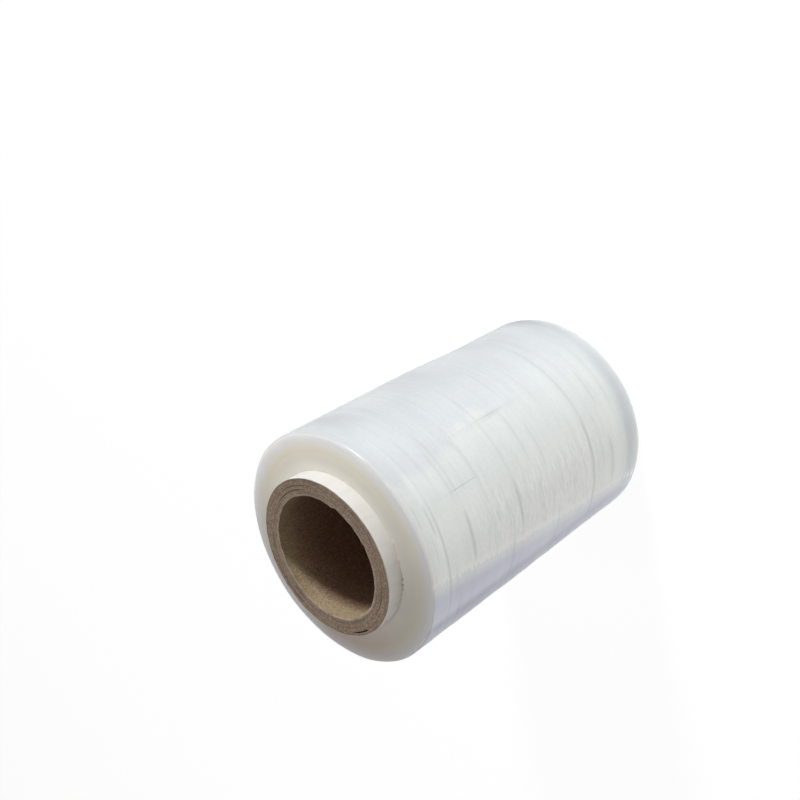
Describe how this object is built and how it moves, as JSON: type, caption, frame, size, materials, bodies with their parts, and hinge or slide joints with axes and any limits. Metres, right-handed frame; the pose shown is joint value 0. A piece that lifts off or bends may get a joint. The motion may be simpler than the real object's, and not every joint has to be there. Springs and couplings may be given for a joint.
{
  "type": "stretch wrap roll",
  "caption": "Small roll of clear stretch wrap, tightly wound on a kraft board core with a white paper outer ply that stands proud of the film at one end.",
  "frame": {"origin": "centre of the flush end, on the surface that the roll stands on", "axes": "+Z along the roll's axis, towards the end where the core stands proud of the film; the roll is round, so +X and +Y are free"},
  "size_m": [0.07, 0.07, 0.1052],
  "materials": {
    "film": "gloss",
    "core_board": "matte",
    "white_paper": "matte"
  },
  "bodies": {
    "root": {"film_roll": "film", "core_tube": "core_board", "core_wrap": "white_paper"}
  },
  "joints": []
}
